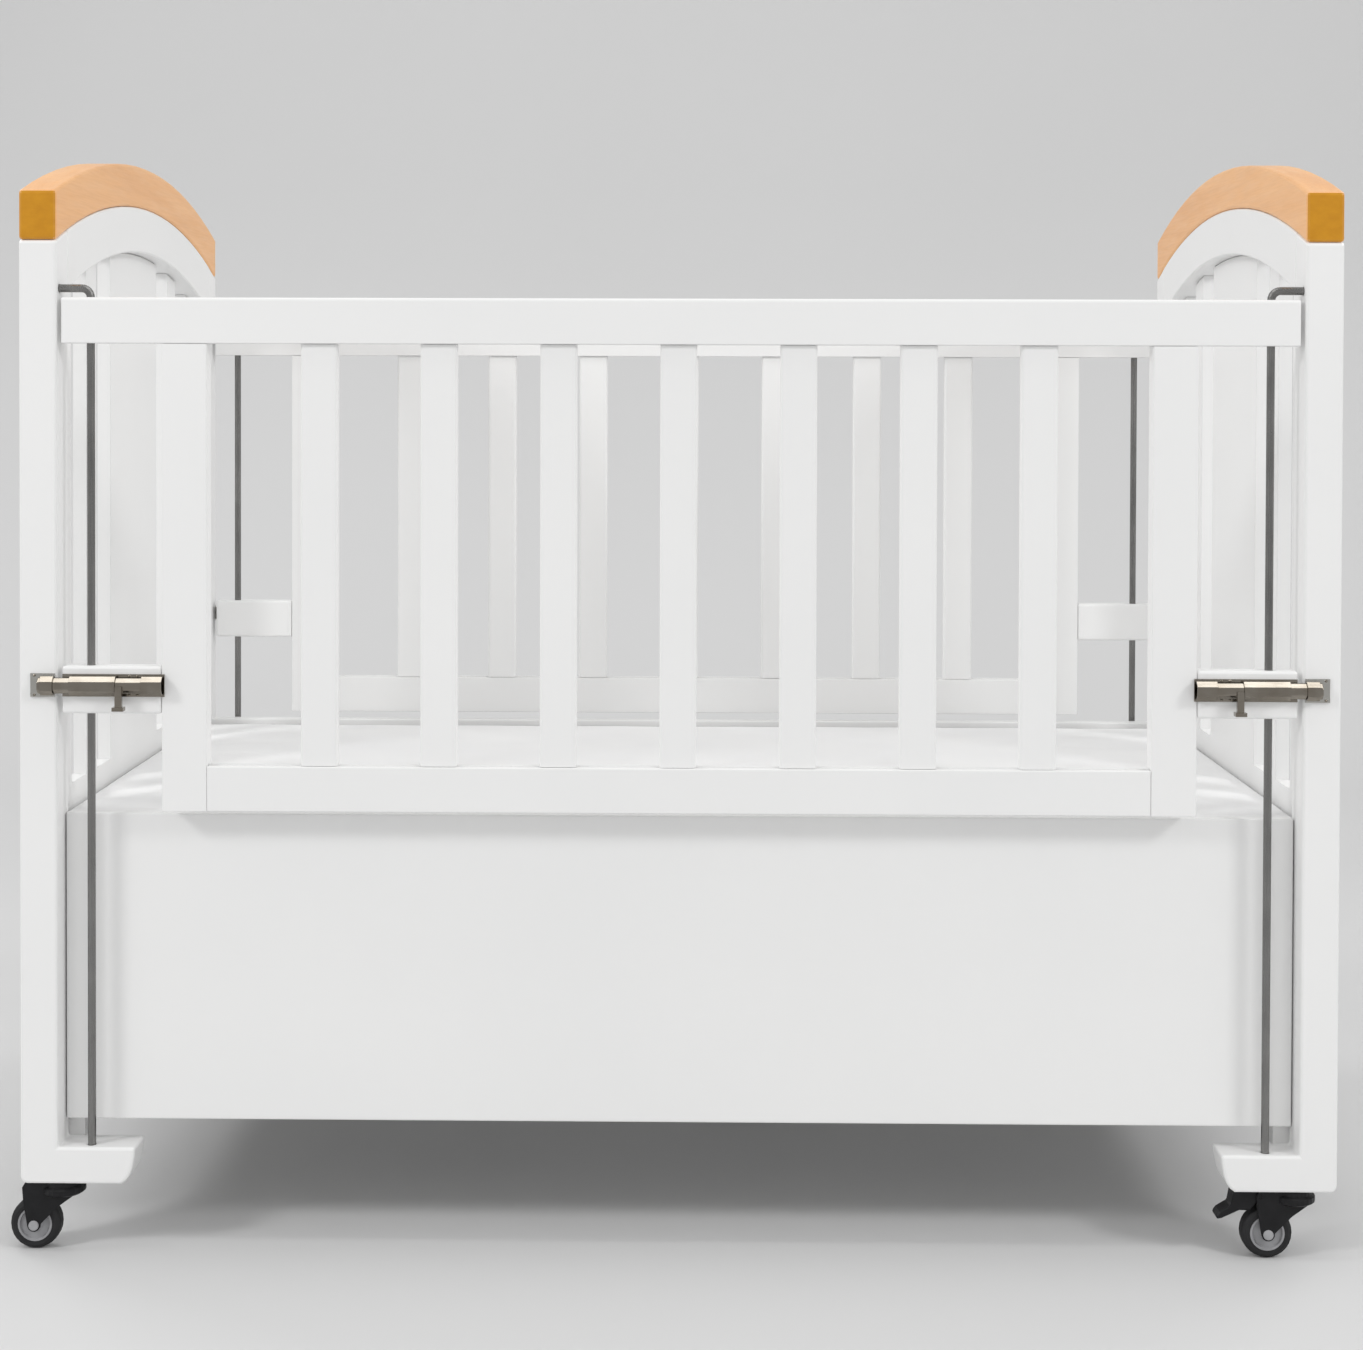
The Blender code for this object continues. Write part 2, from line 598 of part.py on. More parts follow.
def make_bolt(half, sign, parent):
    """A bolt with its thumb piece, in its locked place under the keeper."""
    saddle_start = HOUSING_START + HOUSING_LENGTH + SADDLE_GAP
    xs = along_block(sign, -BOLT_REACH, saddle_start + SADDLE_LENGTH - BOLT_TAIL)
    name = half + "_side_bolt_" + side_of(half, sign)
    origin = (sign * POST_INNER_X, -FRONT_Y, BOLT_CENTRE_Z)
    bar = add(name, prism(bolt_section(0.0), "X", xs[0], xs[1]), BOLT_PLATING, parent, METAL_EDGE, 1, origin)
    start = HOUSING_START + HOUSING_LENGTH + GAP * 2
    xs = along_block(sign, start, start + THUMB_WIDTH)
    bottom = BOLT_CENTRE_Z - BOLT_HEIGHT / 2 - THUMB_DROP
    front = -FRONT_Y - PLATE_THICKNESS - BOLT_CLEARANCE - BOLT_DEPTH
    low = (xs[0], front - THUMB_PROUD, bottom)
    combine(bar, "UNION", block(low, (xs[1], front + BOLT_CHAMFER / 2, BOLT_CENTRE_Z)))
    spread = (THUMB_FOOT_WIDTH - THUMB_WIDTH) / 2
    low = (xs[0] - spread, front - THUMB_PROUD * 2, bottom - THUMB_FOOT_HEIGHT)
    high = (xs[1] + spread, front + BOLT_CHAMFER, bottom + THUMB_FOOT_HEIGHT / 4)
    combine(bar, "UNION", block(low, high))


def make_keeper(half, sign, parent):
    """A plate on the post with a loop pressed up from it, which the bolt's tip passes through."""
    name = "bolt_keeper_" + half + "_" + side_of(half, sign)
    xs = along_block(sign, -KEEPER_FROM_EDGE, -KEEPER_FROM_EDGE - KEEPER_LENGTH)
    low = (xs[0], -FRONT_Y - PLATE_THICKNESS - GAP, BOLT_CENTRE_Z - KEEPER_HEIGHT / 2)
    keeper = board(name, low, (xs[1], -FRONT_Y - GAP, BOLT_CENTRE_Z + KEEPER_HEIGHT / 2), BOLT_PLATING, parent, 0.0)
    xs = along_block(sign, -KEEPER_FROM_EDGE, -KEEPER_FROM_EDGE - KEEPER_LOOP_LENGTH)
    combine(keeper, "UNION", prism(bolt_section(BOLT_CLEARANCE + SHEET_THICKNESS), "X", xs[0], xs[1]))
    xs = along_block(sign, 0.0, -KEEPER_FROM_EDGE * 2 - KEEPER_LENGTH)
    combine(keeper, "DIFFERENCE", prism(bolt_section(BOLT_CLEARANCE * 0.75), "X", xs[0], xs[1]))


# Drop sides: a framed row of slats under a long top rail, with a latch block at each end
def make_drop_side(half, parent):
    prefix = half + "_side_"
    hole = ROD_DIAMETER / 2 + ROD_HOLE_CLEARANCE
    under_rail = SIDE_TOP_Z - TOP_RAIL_HEIGHT
    outline = rounded_outline((-FRONT_Y, under_rail), (-SIDE_BACK_Y, SIDE_TOP_Z), JOINT_EDGE, CAP_EDGE)
    bar = prism(outline, "X", -RAIL_END_X, RAIL_END_X)
    origin = (0.0, -SIDE_CENTRE_Y, under_rail)
    top_rail = add(prefix + "top_rail", bar, WHITE, parent, 0.0, 1, origin)
    holes = []
    for sign in (-1, 1):
        centre = (sign * ROD_X, -SIDE_CENTRE_Y)
        holes.append(cylinder(hole, centre, under_rail - hole, SIDE_TOP_Z + hole, "Z"))
    combine(top_rail, "DIFFERENCE", joined(holes))

    rail_top = SIDE_BOTTOM_Z + BOTTOM_RAIL_HEIGHT
    for sign in (-1, 1):
        side = side_of(half, sign)
        xs = sorted((sign * STILE_OUTER_X, sign * STILE_INNER_X))
        outline = rounded_outline((xs[0], -FRONT_Y), (xs[1], -SIDE_BACK_Y), JOINT_EDGE, JOINT_EDGE)
        origin = (sign * STILE_OUTER_X, -SIDE_CENTRE_Y, SIDE_BOTTOM_Z)
        bar = prism(outline, "Z", SIDE_BOTTOM_Z, under_rail - GAP)
        add(prefix + "stile_" + side, bar, WHITE, parent, 0.0, 1, origin)
        xs = sorted((sign * RAIL_END_X, sign * (STILE_OUTER_X + GAP)))
        low = (xs[0], -FRONT_Y, BLOCK_TOP_Z - LATCH_BLOCK_HEIGHT)
        high = (xs[1], -SIDE_BACK_Y, BLOCK_TOP_Z)
        latch = board(prefix + "latch_block_" + side, low, high, WHITE, parent)
        centre = (sign * ROD_X, -SIDE_CENTRE_Y)
        combine(latch, "DIFFERENCE", cylinder(hole, centre, low[2] - hole, BLOCK_TOP_Z + hole, "Z"))
        make_bolt_plate(half, sign, parent)
        make_bolt(half, sign, parent)

    rail_end = STILE_INNER_X - GAP
    outline = rounded_outline((-FRONT_Y, SIDE_BOTTOM_Z), (-SIDE_BACK_Y, rail_top), JOINT_EDGE, JOINT_EDGE)
    origin = (0.0, -SIDE_CENTRE_Y, SIDE_BOTTOM_Z)
    rail = add(prefix + "bottom_rail", prism(outline, "X", -rail_end, rail_end), WHITE, parent, 0.0, 1, origin)
    half_groove = FILLET_WIDTH / 2
    low = (-STILE_INNER_X, -SIDE_CENTRE_Y - half_groove, rail_top - FILLET_DEPTH)
    combine(rail, "DIFFERENCE", block(low, (STILE_INNER_X, half_groove - SIDE_CENTRE_Y, rail_top + GAP)))

    half_groove -= GAP
    low = (-rail_end, -SIDE_CENTRE_Y - half_groove, rail_top - FILLET_DEPTH + GAP)
    high = (rail_end, half_groove - SIDE_CENTRE_Y, rail_top + FILLET_PROUD)
    infill = board(prefix + "slats", low, high, WHITE, parent, 0.0)
    half_thick = SIDE_SLAT_THICKNESS / 2
    first = SIDE_SLAT_FROM_STILE - STILE_INNER_X
    last = STILE_INNER_X - SIDE_SLAT_FROM_STILE - SIDE_SLAT_WIDTH
    slats = []
    for i in range(SIDE_SLAT_COUNT):
        start = first + (last - first) * i / (SIDE_SLAT_COUNT - 1)
        low = (start, -SIDE_CENTRE_Y - half_thick)
        outline = rounded_outline(low, (start + SIDE_SLAT_WIDTH, half_thick - SIDE_CENTRE_Y), SLAT_EDGE, SLAT_EDGE)
        slats.append(prism(outline, "Z", rail_top + GAP, under_rail - GAP))
    combine(infill, "UNION", joined(slats))


# Castors
def cheek_outline():
    """The side view of a fork cheek: broad under the head, drawn in to a round end at the axle."""
    points = [(-0.29 * HEAD_DIAMETER, HEAD_BOTTOM_Z + HEAD_HEIGHT / 2), (-0.29 * HEAD_DIAMETER, HEAD_BOTTOM_Z)]
    points += [(CASTOR_TRAIL - 0.023, WHEEL_RADIUS + 0.018)]
    for i in range(7):
        angle = math.radians(170 + 30 * i)
        x = CASTOR_TRAIL + CHEEK_END_RADIUS * math.cos(angle)
        points.append((x, WHEEL_RADIUS + CHEEK_END_RADIUS * math.sin(angle)))
    ear = PEDAL_PIVOT_TRAIL + 0.0045
    points += [(ear - 0.001, PEDAL_PIVOT_Z - 0.014), (ear, PEDAL_PIVOT_Z)]
    points += [(ear - 0.0025, HEAD_TOP_Z - 0.002), (0.35 * HEAD_DIAMETER, HEAD_TOP_Z - 0.001)]
    return points


def make_fork(name, parent, with_pin_hole):
    """A pressed fork that turns on its stem: a round head, two cheeks, and the axle between them."""
    neck = HEAD_NECK_DIAMETER / 2
    head = HEAD_DIAMETER / 2
    stem = STEM_DIAMETER / 2
    profile = ((head - 0.003, HEAD_BOTTOM_Z), (head, HEAD_BOTTOM_Z + 0.002), (head, HEAD_BOTTOM_Z + 0.007))
    profile += ((head - 0.002, HEAD_BOTTOM_Z + 0.0085), (neck, HEAD_BOTTOM_Z + 0.009), (neck, HEAD_TOP_Z))
    profile += ((stem, HEAD_TOP_Z), (stem, CASTOR_HEIGHT + STEM_LENGTH - 0.001))
    profile += ((stem - 0.001, CASTOR_HEIGHT + STEM_LENGTH),)
    fork = add(name, turned(profile, "Z", 24, True), BLACK, parent)
    inner = WHEEL_WIDTH / 2 + WHEEL_SIDE_GAP
    cheeks = []
    for sign in (-1, 1):
        ys = sorted((sign * inner, sign * (inner + CHEEK_THICKNESS)))
        cheeks.append(prism(cheek_outline(), "Y", ys[0], ys[1]))
    combine(fork, "UNION", joined(cheeks))
    reach = inner + CHEEK_THICKNESS + 0.001
    axle = cylinder(AXLE_DIAMETER / 2, (CASTOR_TRAIL, WHEEL_RADIUS), -reach, reach, "Y", 12)
    combine(fork, "UNION", axle)
    if with_pin_hole:
        centre = (PEDAL_PIVOT_TRAIL, PEDAL_PIVOT_Z)
        combine(fork, "DIFFERENCE", cylinder(PEDAL_PIN_RADIUS + GAP, centre, -reach, reach, "Y", 12))


def make_wheel(name, parent):
    """A rubber tyre pressed on a stepped hub, both turned about the axle."""
    half = WHEEL_WIDTH / 2
    hub_radius = HUB_DIAMETER / 2
    seat = hub_radius + GAP
    outer = WHEEL_RADIUS
    tyre = ((seat, -half), (outer - 0.004, -half), (outer - 0.001, -half + 0.002), (outer, -half + 0.005))
    tyre += ((outer, half - 0.005), (outer - 0.001, half - 0.002), (outer - 0.004, half), (seat, half))
    add(name + "_tyre", turned(tyre, "Y", 28), TYRE, parent)
    bore = AXLE_DIAMETER / 2 + GAP
    boss = bore + 0.003
    dish = half - 0.002
    hub = ((bore, -half), (boss, -half), (boss + 0.001, -dish), (hub_radius - 0.003, -dish), (hub_radius - 0.002, -half))
    hub += ((hub_radius, -half), (hub_radius, half), (hub_radius - 0.002, half), (hub_radius - 0.003, dish))
    hub += ((boss + 0.001, dish), (boss, half), (bore, half))
    add(name + "_hub", turned(hub, "Y", 28), HUB_GREY, parent)


def make_pedal(name, parent):
    """A brake pedal on a pin between the cheeks: a deep lever with a shoe over the tyre and a drooping pad."""
    end = PEDAL_REACH - PEDAL_PIVOT_TRAIL
    outline = [(-0.0035, -0.003), (-0.0035, 0.0035), (0.004, 0.0042), (0.55 * end, 0.0042), (0.63 * end, 0.0015)]
    outline += [(0.68 * end, -0.010), (0.93 * end, -0.0165), (end, -0.0205), (0.99 * end, -0.0235)]
    outline += [(0.88 * end, -0.0225), (0.48 * end, -0.0145), (0.30 * end, -0.0148), (0.23 * end, -0.0145)]
    outline += [(0.07 * end, -0.006)]
    half_width = WHEEL_WIDTH / 2 + WHEEL_SIDE_GAP - GAP
    pedal = add(name, prism(outline, "Y", -half_width, half_width), BLACK, parent, METAL_EDGE * 2, 1)
    pin_reach = half_width + GAP + CHEEK_THICKNESS
    combine(pedal, "UNION", cylinder(PEDAL_PIN_RADIUS, (0.0, 0.0), -pin_reach, pin_reach, "Y", 12))


def make_castor(half, side, location, turn, braked):
    """A castor round its swivel axis, its wheel trailing along the castor's own +X."""
    name = "castor_" + half + "_" + side
    swivel = empty(name + "_swivel", location, turn)
    make_fork(name + "_fork", swivel, braked)
    make_wheel(name, empty(name + "_axle", (CASTOR_TRAIL, 0.0, WHEEL_RADIUS), 0.0, swivel))
    if braked:
        pivot = empty(name + "_pivot", (PEDAL_PIVOT_TRAIL, 0.0, PEDAL_PIVOT_Z), 0.0, swivel)
        make_pedal(name + "_pedal", pivot)


for half, turn in HALVES:
    fixed = empty(half + "_fixed", turn=turn)
    sliding = empty(half + "_side", turn=turn)
    for sign in (-1, 1):
        make_post(half, sign, fixed)
        make_rod(half, sign, fixed)
        make_keeper(half, sign, fixed)
        place = Vector((sign * SWIVEL_X, -SWIVEL_Y, 0.0))
        if half == "rear":
            place = -place
        make_castor(half, side_of(half, sign), place, math.pi + turn, sign > 0)
    make_side_board(half, fixed)
    make_bed_rail(half, fixed)
    make_drop_side(half, sliding)
for side, turn in ENDS:
    make_end(side, empty(side + "_end", turn=turn))
make_bed_base()
make_mattress()
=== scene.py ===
"""Looks of the baby cot: paint, wood, metal and cloth, the dressed mattress, small hardware, studio and camera."""

import json
import math

import bmesh
import bpy
from mathutils import Matrix, Vector, noise


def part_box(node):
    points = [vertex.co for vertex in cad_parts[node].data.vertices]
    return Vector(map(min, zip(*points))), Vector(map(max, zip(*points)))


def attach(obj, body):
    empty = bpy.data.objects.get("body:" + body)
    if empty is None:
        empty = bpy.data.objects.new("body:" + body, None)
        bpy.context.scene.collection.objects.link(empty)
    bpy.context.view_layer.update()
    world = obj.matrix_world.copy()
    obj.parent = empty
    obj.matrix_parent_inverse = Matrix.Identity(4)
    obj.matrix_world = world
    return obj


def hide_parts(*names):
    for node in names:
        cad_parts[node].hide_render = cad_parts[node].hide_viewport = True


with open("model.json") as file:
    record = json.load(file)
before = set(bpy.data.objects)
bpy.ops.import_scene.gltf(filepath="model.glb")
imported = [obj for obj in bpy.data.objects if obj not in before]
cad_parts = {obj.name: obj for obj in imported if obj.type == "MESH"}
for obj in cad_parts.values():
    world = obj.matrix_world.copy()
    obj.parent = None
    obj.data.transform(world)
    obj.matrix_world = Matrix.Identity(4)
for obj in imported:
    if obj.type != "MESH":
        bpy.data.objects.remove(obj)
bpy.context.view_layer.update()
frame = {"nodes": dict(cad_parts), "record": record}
nodes = frame["nodes"]


# Materials' building blocks
class Material:
    """A new node material with its Principled shader, and short calls to wire nodes into it."""

    def __init__(self, name, colour, roughness, metallic=0.0):
        self.material = bpy.data.materials.new(name)
        self.material.use_nodes = True
        self.tree = self.material.node_tree
        self.shader = self.tree.nodes["Principled BSDF"]
        self.set("Base Color", colour)
        self.set("Roughness", roughness)
        self.set("Metallic", metallic)
        coordinates = self.tree.nodes.new("ShaderNodeTexCoord")
        self.place = coordinates.outputs["Object"]
        self.normal = coordinates.outputs["Normal"]

    def node(self, kind, **values):
        made = self.tree.nodes.new(kind)
        for key, value in values.items():
            setattr(made, key, value)
        return made

    def feed(self, socket, value):
        """Gives a socket a number or a colour, or links another node's output to it."""
        if isinstance(value, (int, float)):
            socket.default_value = value
        elif isinstance(value, tuple):
            socket.default_value = (*value, 1.0)
        else:
            self.tree.links.new(value, socket)

    def set(self, name, value):
        """Feeds one of the shader's own inputs."""
        self.feed(self.shader.inputs[name], value)

    def stretched(self, stretch):
        """Object coordinates, stretched along each axis."""
        mapping = self.node("ShaderNodeMapping")
        mapping.inputs["Scale"].default_value = stretch
        self.feed(mapping.inputs["Vector"], self.place)
        return mapping.outputs["Vector"]

    def noise(self, scale, stretch=(1.0, 1.0, 1.0), detail=3.0, distortion=0.0):
        made = self.node("ShaderNodeTexNoise")
        self.feed(made.inputs["Scale"], scale)
        self.feed(made.inputs["Detail"], detail)
        self.feed(made.inputs["Distortion"], distortion)
        self.feed(made.inputs["Vector"], self.stretched(stretch))
        return made.outputs["Fac"]

    def ramp(self, fac, *stops):
        """A value turned into a colour through stops of (position, colour)."""
        made = self.node("ShaderNodeValToRGB")
        elements = made.color_ramp.elements
        while len(elements) < len(stops):
            elements.new(0.5)
        for element, (position, colour) in zip(elements, stops):
            element.position = position
            element.color = (*colour, 1.0)
        self.feed(made.inputs["Fac"], fac)
        return made.outputs["Color"]

    def ranged(self, fac, low, high, start=0.3, end=0.7):
        """A value's range from start to end, spread over low to high."""
        made = self.node("ShaderNodeMapRange")
        self.feed(made.inputs["From Min"], start)
        self.feed(made.inputs["From Max"], end)
        self.feed(made.inputs["To Min"], low)
        self.feed(made.inputs["To Max"], high)
        self.feed(made.inputs["Value"], fac)
        return made.outputs["Result"]

    def math(self, operation, *values):
        made = self.node("ShaderNodeMath", operation=operation)
        for socket, value in zip(made.inputs, values):
            self.feed(socket, value)
        return made.outputs["Value"]

    def size_of_y(self, vector):
        """How large a vector's Y part is, whichever way it points."""
        split = self.node("ShaderNodeSeparateXYZ")
        self.feed(split.inputs["Vector"], vector)
        return self.math("ABSOLUTE", split.outputs["Y"])

    def mixed(self, fac, a, b, blend="MIX"):
        """Two colours mixed. A Mix node keeps its colour sockets behind those for numbers and vectors."""
        made = self.node("ShaderNodeMix", data_type="RGBA", blend_type=blend)
        for index, value in ((0, fac), (6, a), (7, b)):
            self.feed(made.inputs[index], value)
        return made.outputs[2]

    def bumps(self, *layers, edge=0.0):
        """Bump layers of (height, strength, distance), one over another, on edges softened to a radius."""
        normal = None
        if edge > 0:
            soft = self.node("ShaderNodeBevel", samples=4)
            self.feed(soft.inputs["Radius"], edge)
            normal = soft.outputs["Normal"]
        for height, strength, distance in layers:
            bump = self.node("ShaderNodeBump")
            self.feed(bump.inputs["Strength"], strength)
            self.feed(bump.inputs["Distance"], distance)
            self.feed(bump.inputs["Height"], height)
            if normal is not None:
                self.feed(bump.inputs["Normal"], normal)
            normal = bump.outputs["Normal"]
        self.set("Normal", normal)


# Materials
WOOD_EDGE = 0.0008  # radius that softens a wooden piece's edges
METAL_EDGE = 0.0004
KEEPER_REFLECTION_SHEET = (0.3519, 0.3523)  # a keeper's flat sheet ends between these distances from the cot's middle plane; inside them the nickel is painted lighter, a painted reflection of bright surroundings


def white_paint(name, grain):
    """Sprayed satin paint: faint tone drift, orange peel, and the wood's grain just telling through it."""
    made = Material(name, (0.875, 0.875, 0.870), 0.36)
    drift = made.noise(3.0, detail=2.0)
    made.set("Base Color", made.ramp(drift, (0.3, (0.866, 0.867, 0.863)), (0.7, (0.888, 0.887, 0.881))))
    made.set("Roughness", made.ranged(made.noise(14.0), 0.30, 0.42))
    telling = made.noise(16.0, stretch=grain, detail=5.0, distortion=0.4)
    peel = made.noise(520.0, detail=1.0)
    made.bumps((telling, 0.10, 0.0006), (peel, 0.06, 0.0002), edge=WOOD_EDGE)
    made.set("Coat Weight", 0.15)
    made.set("Coat Roughness", 0.22)
    return made.material


def cap_wood():
    """Clear-lacquered pale wood: faint grain along the arch, and end grain in a deep golden orange."""
    made = Material("cap_wood_lacquered", (0.88, 0.48, 0.21), 0.38)
    made.set("Specular IOR Level", 0.35)
    bands = made.noise(7.0, stretch=(6.0, 0.5, 6.0), detail=5.0, distortion=0.5)
    lines = made.noise(60.0, stretch=(9.0, 0.35, 9.0), detail=4.0, distortion=0.3)
    pores = made.noise(260.0, stretch=(6.0, 0.22, 6.0), detail=2.0)
    flecks = made.noise(90.0, stretch=(1.0, 1.0, 1.6), detail=4.0)
    face = made.ramp(
        bands,
        (0.30, (0.840, 0.445, 0.190)),
        (0.50, (0.885, 0.485, 0.215)),
        (0.72, (0.920, 0.525, 0.245)),
    )
    streaks = made.ramp(lines, (0.35, (0.93, 0.90, 0.86)), (0.60, (1.0, 1.0, 1.0)))
    grained = made.mixed(0.7, face, streaks, blend="MULTIPLY")
    end_grain = made.ramp(flecks, (0.30, (0.560, 0.238, 0.004)), (0.70, (0.620, 0.276, 0.007)))
    end_facing = made.ranged(made.size_of_y(made.normal), 0.0, 1.0, start=0.80, end=0.93)
    made.set("Base Color", made.mixed(end_facing, grained, end_grain))
    made.set("Roughness", made.ranged(made.noise(30.0, stretch=(4.0, 0.5, 4.0)), 0.30, 0.42))
    made.bumps((lines, 0.10, 0.0004), (pores, 0.10, 0.0003), edge=WOOD_EDGE)
    made.set("Coat Weight", 0.08)
    made.set("Coat Roughness", 0.25)
    return made.material


def drawn_steel():
    """Drawn bright steel rod, with fine lines along it and a little mottling; its base colour is darkened well below
    real steel, a painted reflection of a dark room.
    """
    # painted reflection: the dark base colour stands in for the dark room the rods reflect
    made = Material("drawn_steel", (0.22, 0.218, 0.213), 0.28, metallic=1.0)
    lines = made.noise(900.0, stretch=(1.0, 1.0, 0.02), detail=2.0)
    mottle = made.noise(40.0, stretch=(1.0, 1.0, 0.4))
    made.set("Base Color", made.ramp(mottle, (0.3, (0.19, 0.188, 0.184)), (0.7, (0.255, 0.252, 0.246))))
    made.set("Roughness", made.ranged(lines, 0.18, 0.32))
    made.bumps((lines, 0.12, 0.0002))
    return made.material


def nickel(name, sheet_reflection=None):
    """Nickel-plated pressed steel, slightly warm, mottled and finely scuffed; its base colour is darkened, a painted
    reflection of a dark room. A flat sheet may be painted lighter, a painted reflection of bright surroundings.
    """
    # a base colour far darker than real nickel: painted reflection of a dark room in the plating's fronts
    made = Material(name, (0.26, 0.235, 0.20), 0.12, metallic=1.0)
    mottle = made.noise(55.0, detail=4.0)
    scuffs = made.noise(700.0, stretch=(0.05, 1.0, 1.0), detail=2.0)
    tone = made.ramp(mottle, (0.3, (0.235, 0.208, 0.172)), (0.7, (0.290, 0.266, 0.230)))
    # painted reflection: the keeper's flat sheet gets a lighter nickel tone, standing in for the bright surroundings
    # it reflects
    if sheet_reflection:
        start, end = KEEPER_REFLECTION_SHEET
        painted_reflection_mask = made.ranged(made.size_of_y(made.place), 1.0, 0.0, start=start, end=end)
        tone = made.mixed(painted_reflection_mask, tone, sheet_reflection)
    made.set("Base Color", tone)
    made.set("Roughness", made.ranged(scuffs, 0.08, 0.16))
    made.bumps((scuffs, 0.05, 0.0002), edge=METAL_EDGE)
    return made.material


def cotton():
    """White mattress ticking: a plain weave of fine threads, with a soft nap."""
    made = Material("cotton_ticking", (0.89, 0.89, 0.89), 0.85)
    threads = []
    for along in ((1.0, 0.0, 0.0), (0.0, 1.0, 0.0)):
        wave = made.node("ShaderNodeTexWave", wave_type="BANDS", bands_direction="DIAGONAL", wave_profile="SIN")
        made.feed(wave.inputs["Scale"], 420.0)
        made.feed(wave.inputs["Distortion"], 0.6)
        made.feed(wave.inputs["Detail"], 1.0)
        made.feed(wave.inputs["Vector"], made.stretched(along))
        threads.append(wave.outputs["Fac"])
    weave = made.math("MULTIPLY", *threads)
    slubs = made.noise(120.0, stretch=(1.0, 0.15, 1.0))
    fuzz = made.noise(900.0, detail=1.0)
    base = made.ramp(made.noise(7.0), (0.3, (0.875, 0.877, 0.880)), (0.7, (0.910, 0.910, 0.907)))
    crossings = made.ranged(weave, 0.0, 0.10, start=0.0, end=1.0)
    made.set("Base Color", made.mixed(crossings, base, (0.78, 0.78, 0.79)))
    made.bumps((slubs, 0.12, 0.0008), (weave, 0.22, 0.0004), (fuzz, 0.10, 0.0003))
    made.set("Sheen Weight", 0.25)
    made.set("Sheen Roughness", 0.5)
    return made.material


def coated(name, colour, roughness, grain_scale):
    """Black or grey plastic, rubber or powder coat: a fine grain with slight dust-light patches."""
    made = Material(name, colour, roughness)
    made.set("Specular IOR Level", 0.22)
    patches = made.noise(60.0, detail=4.0)
    grain = made.noise(grain_scale, detail=2.0)
    light = tuple(min(1.0, c * 1.25 + 0.003) for c in colour)
    made.set("Base Color", made.ramp(patches, (0.35, colour), (0.75, light)))
    made.set("Roughness", made.ranged(patches, roughness - 0.07, roughness + 0.10))
    made.bumps((grain, 0.16, 0.0003), edge=METAL_EDGE)
    return made.material


def backdrop_paper():
    """Pale grey paper with a faint tone drift."""
    grey = (0.66, 0.66, 0.66)
    made = Material("backdrop_paper", grey, 0.9)
    light = tuple(c * 1.02 for c in grey)
    made.set("Base Color", made.ramp(made.noise(0.8, detail=2.0), (0.3, grey), (0.7, light)))
    return made.material


PAINT_ALONG = white_paint("white_paint_along", (0.5, 9.0, 9.0))
PAINT_UPRIGHT = white_paint("white_paint_upright", (9.0, 9.0, 0.5))
NICKEL = nickel("nickel_plate")
# the keeper's lighter sheet colour is a painted reflection of bright surroundings
KEEPER_NICKEL_WITH_REFLECTION = nickel("nickel_keeper_painted_reflection", sheet_reflection=(0.50, 0.49, 0.46))
COTTON = cotton()
AXLE_GREY = coated("axle_cap_grey", (0.34, 0.34, 0.35), 0.40, 500.0)
FINISHES = {
    "cap_wood": cap_wood(),
    "bright_steel": drawn_steel(),
    "bolt_plating": NICKEL,
    "mattress_cover": COTTON,
    "black_castor": coated("castor_black", (0.008, 0.008, 0.009), 0.40, 420.0),
    "black_tyre": coated("tyre_rubber", (0.020, 0.020, 0.021), 0.62, 300.0),
    "grey_hub": coated("hub_grey", (0.29, 0.29, 0.30), 0.42, 500.0),
}
UPRIGHT_WORDS = ("post_", "_stile_", "_slats", "end_panel")  # painted pieces whose wood runs upwards


def finish_of(name, slot_name):
    if name.startswith("bolt_keeper_"):
        return KEEPER_NICKEL_WITH_REFLECTION
    if slot_name in FINISHES:
        return FINISHES[slot_name]
    return PAINT_UPRIGHT if any(word in name for word in UPRIGHT_WORDS) else PAINT_ALONG


for subpart in frame["record"]["subparts"]:
    for place in nodes[subpart["node"]].material_slots:
        place.material = finish_of(subpart["node"], subpart["material_slot"])


# Mesh helpers
def made_object(name, bm, material, body, smooth_angle=35.0):
    """Turns bm into an object that rides on a body, shaded smooth up to an angle in degrees."""
    mesh = bpy.data.meshes.new(name)
    bmesh.ops.recalc_face_normals(bm, faces=bm.faces)
    bm.to_mesh(mesh)
    bm.free()
    mesh.materials.append(material)
    mesh.shade_smooth()
    mesh.set_sharp_from_angle(angle=math.radians(smooth_angle))
    made = bpy.data.objects.new(name, mesh)
    bpy.context.scene.collection.objects.link(made)
    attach(made, body)
    return made


def lathed(bm, profile, origin, axis, segments=32):
    """Adds a turned body to bm: profile is (radius, along) from one end on the axis to the other."""
    turn = Vector((0.0, 0.0, 1.0)).rotation_difference(Vector(axis)).to_matrix().to_4x4()
    place = Matrix.Translation(origin) @ turn
    rings = []
    for radius, along in profile:
        if radius == 0.0:
            rings.append([bm.verts.new(place @ Vector((0.0, 0.0, along)))])
            continue
        ring = []
        for i in range(segments):
            angle = 2 * math.pi * i / segments
            point = Vector((radius * math.cos(angle), radius * math.sin(angle), along))
            ring.append(bm.verts.new(place @ point))
        rings.append(ring)
    for lower, upper in zip(rings, rings[1:]):
        for i in range(segments):
            j = (i + 1) % segments
            corners = [lower[i % len(lower)], lower[j % len(lower)], upper[j % len(upper)], upper[i % len(upper)]]
            bm.faces.new(list(dict.fromkeys(corners)))


def middle(node):
    low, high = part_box(node)
    return (low + high) / 2


